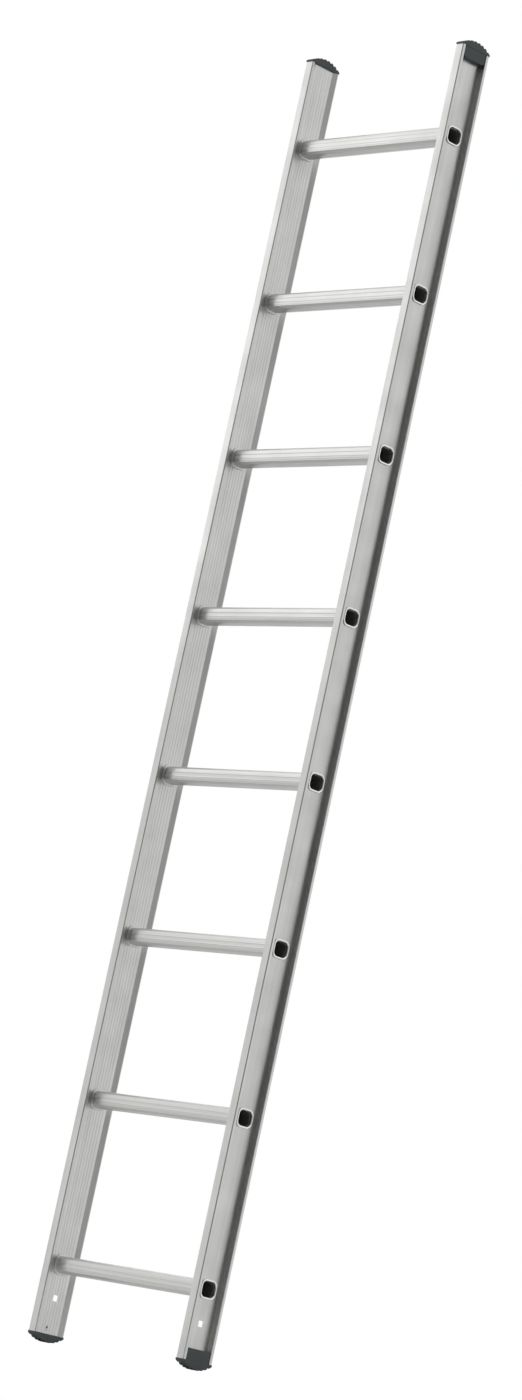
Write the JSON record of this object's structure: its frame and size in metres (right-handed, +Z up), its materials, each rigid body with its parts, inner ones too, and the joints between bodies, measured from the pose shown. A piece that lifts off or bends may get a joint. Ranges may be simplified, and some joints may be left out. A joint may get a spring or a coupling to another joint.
{
  "type": "rung ladder",
  "caption": "Straight aluminium rung ladder with open channel stiles, ridged hollow rungs swaged through them and dark lugged end caps, leaned or laid on a roof to climb.",
  "frame": {"origin": "midway between the two feet, at the lowest line of their soles, with the ladder standing upright", "axes": "+X across the ladder towards stile_right, -Y towards the climber, +Z up along the stiles"},
  "size_m": [0.38, 0.0666, 2.256],
  "materials": {
    "aluminium": "mill-finish extrusion, satin",
    "cap_plastic": "moulded, matt"
  },
  "bodies": {
    "root": {"stile_left": "aluminium", "stile_right": "aluminium", "foot_left": "cap_plastic", "foot_right": "cap_plastic", "top_cap_left": "cap_plastic", "top_cap_right": "cap_plastic", "rung_1": "aluminium", "rung_2": "aluminium", "rung_3": "aluminium", "rung_4": "aluminium", "rung_5": "aluminium", "rung_6": "aluminium", "rung_7": "aluminium", "rung_8": "aluminium"}
  },
  "joints": []
}
